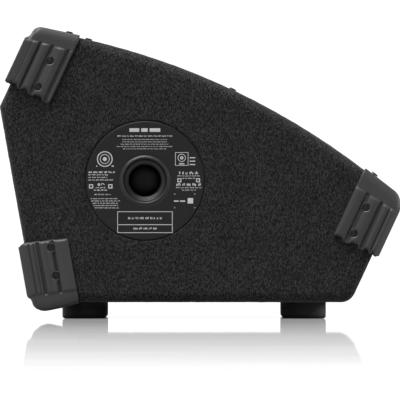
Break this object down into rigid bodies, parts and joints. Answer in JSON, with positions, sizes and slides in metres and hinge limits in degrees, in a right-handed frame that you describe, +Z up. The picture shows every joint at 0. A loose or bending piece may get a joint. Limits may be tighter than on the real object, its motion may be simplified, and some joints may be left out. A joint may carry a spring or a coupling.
{
  "type": "stage monitor wedge",
  "caption": "Floor wedge loudspeaker: carpeted cabinet with ribbed corners, curved steel grille, pole socket in one side, handle in the other and an amplifier panel behind.",
  "frame": {"origin": "on the floor, under the middle of the whole object", "axes": "+Z up, +X from the rear to the nose, Y across the cabinet with the pole socket on -Y"},
  "size_m": [0.4607, 0.571, 0.3357],
  "materials": {
    "panel_board": "matt",
    "carpet": "needle-felt carpet",
    "corner_plastic": "fine moulded texture",
    "foot_rubber": "matt",
    "moulded_plastic": "fine moulded texture",
    "label_film": "printed film",
    "grille_paint": "powder coat",
    "foam": "open-cell foam",
    "black_screws": "black zinc",
    "basket_paint": "satin",
    "surround_rubber": "satin",
    "cone_paper": "coated paper",
    "coil_copper": "wound wire",
    "magnet_steel": "zinc plated",
    "magnet_ferrite": "unglazed",
    "driver_housing": "cast",
    "panel_paint": "textured paint",
    "heatsink_metal": "black anodised",
    "circuit_board": "solder mask",
    "transformer_tape": "polyester tape",
    "knob_plastic": "satin",
    "button_plastic": "satin",
    "rocker_plastic": "gloss",
    "connector_plastic": "satin",
    "latch_metal": "plated",
    "led_lens": "clear",
    "polyester_wadding": "lofted fibre",
    "lead_sleeve": "flexible"
  },
  "bodies": {
    "cabinet": {"amp_board": "circuit_board", "amp_panel": "panel_paint", "baffle": "panel_board", "bottom_panel": "panel_board", "brace": "panel_board", "carpet_handle_side": "carpet", "carpet_socket_side": "carpet", "carpet_wrap": "carpet", "compression_driver": "driver_housing", "corner_screws": "black_screws", "crown_protector_handle_side": "corner_plastic", "crown_protector_socket_side": "corner_plastic", "driver_screws": "black_screws", "front_panel": "panel_board", "grille": "grille_paint", "grille_foam": "foam", "grille_frame": "panel_board", "grille_screws": "black_screws", "handle": "moulded_plastic", "heatsink": "heatsink_metal", "heel_protector_handle_side": "corner_plastic", "heel_protector_socket_side": "corner_plastic", "horn": "moulded_plastic", "jack_input": "connector_plastic", "link_output": "connector_plastic", "magnet": "magnet_ferrite", "magnet_top_plate": "magnet_steel", "mains_inlet": "connector_plastic", "nose_protector_handle_side": "corner_plastic", "nose_protector_socket_side": "corner_plastic", "panel_screws": "black_screws", "pole_socket": "moulded_plastic", "pole_yoke": "magnet_steel", "port_tubes": "moulded_plastic", "rear_panel": "panel_board", "rubber_feet": "foot_rubber", "shoulder_panel": "panel_board", "side_panel_handle": "panel_board", "side_panel_socket": "panel_board", "socket_label": "label_film", "speaker_leads": "lead_sleeve", "spider": "cone_paper", "status_leds": "led_lens", "transformer": "transformer_tape", "wadding": "polyester_wadding", "wood_screws": "black_screws", "woofer_basket": "basket_paint", "woofer_surround": "surround_rubber", "xlr_input": "connector_plastic"},
    "level_knob": {"level_knob": "knob_plastic"},
    "low_knob": {"low_knob": "knob_plastic"},
    "high_knob": {"high_knob": "knob_plastic"},
    "filter_knob": {"filter_knob": "knob_plastic"},
    "power_rocker": {"power_rocker": "rocker_plastic"},
    "filter_button": {"filter_button": "button_plastic"},
    "input_button": {"input_button": "button_plastic"},
    "xlr_latch": {"xlr_latch": "latch_metal"},
    "woofer_cone": {"woofer_cone": "cone_paper", "dust_cap": "cone_paper", "voice_coil": "coil_copper"}
  },
  "joints": [
    {"name": "level_knob_turn", "type": "hinge", "parent": "cabinet", "child": "level_knob", "pos_m": [-0.19612, -0.012, 0.17666], "axis": [-0.9845, 0, -0.1753], "range_deg": [-140, 140]},
    {"name": "low_knob_turn", "type": "hinge", "parent": "cabinet", "child": "low_knob", "pos_m": [-0.19612, -0.045, 0.17666], "axis": [-0.9845, 0, -0.1753], "range_deg": [-140, 140]},
    {"name": "high_knob_turn", "type": "hinge", "parent": "cabinet", "child": "high_knob", "pos_m": [-0.19612, -0.078, 0.17666], "axis": [-0.9845, 0, -0.1753], "range_deg": [-140, 140]},
    {"name": "filter_knob_turn", "type": "hinge", "parent": "cabinet", "child": "filter_knob", "pos_m": [-0.19612, -0.111, 0.17666], "axis": [-0.9845, 0, -0.1753], "range_deg": [-140, 140]},
    {"name": "power_rocker_tilt", "type": "hinge", "parent": "cabinet", "child": "power_rocker", "pos_m": [-0.17409, -0.082, 0.08713], "axis": [0, 1, 0], "range_deg": [-20, 0]},
    {"name": "filter_button_press", "type": "slide", "parent": "cabinet", "child": "filter_button", "axis": [0.9845, 0, 0.1753], "range_m": [0, 0.003], "stiffness_N_per_m": 300},
    {"name": "input_button_press", "type": "slide", "parent": "cabinet", "child": "input_button", "axis": [0.9845, 0, 0.1753], "range_m": [0, 0.003], "stiffness_N_per_m": 300},
    {"name": "xlr_latch_press", "type": "slide", "parent": "cabinet", "child": "xlr_latch", "axis": [0.9845, 0, 0.1753], "range_m": [0, 0.0015], "stiffness_N_per_m": 400},
    {"name": "woofer_travel", "type": "slide", "parent": "cabinet", "child": "woofer_cone", "axis": [0.421, 0, 0.907], "range_m": [-0.005, 0.005], "stiffness_N_per_m": 4000, "deforming": ["woofer_surround", "spider"]}
  ]
}
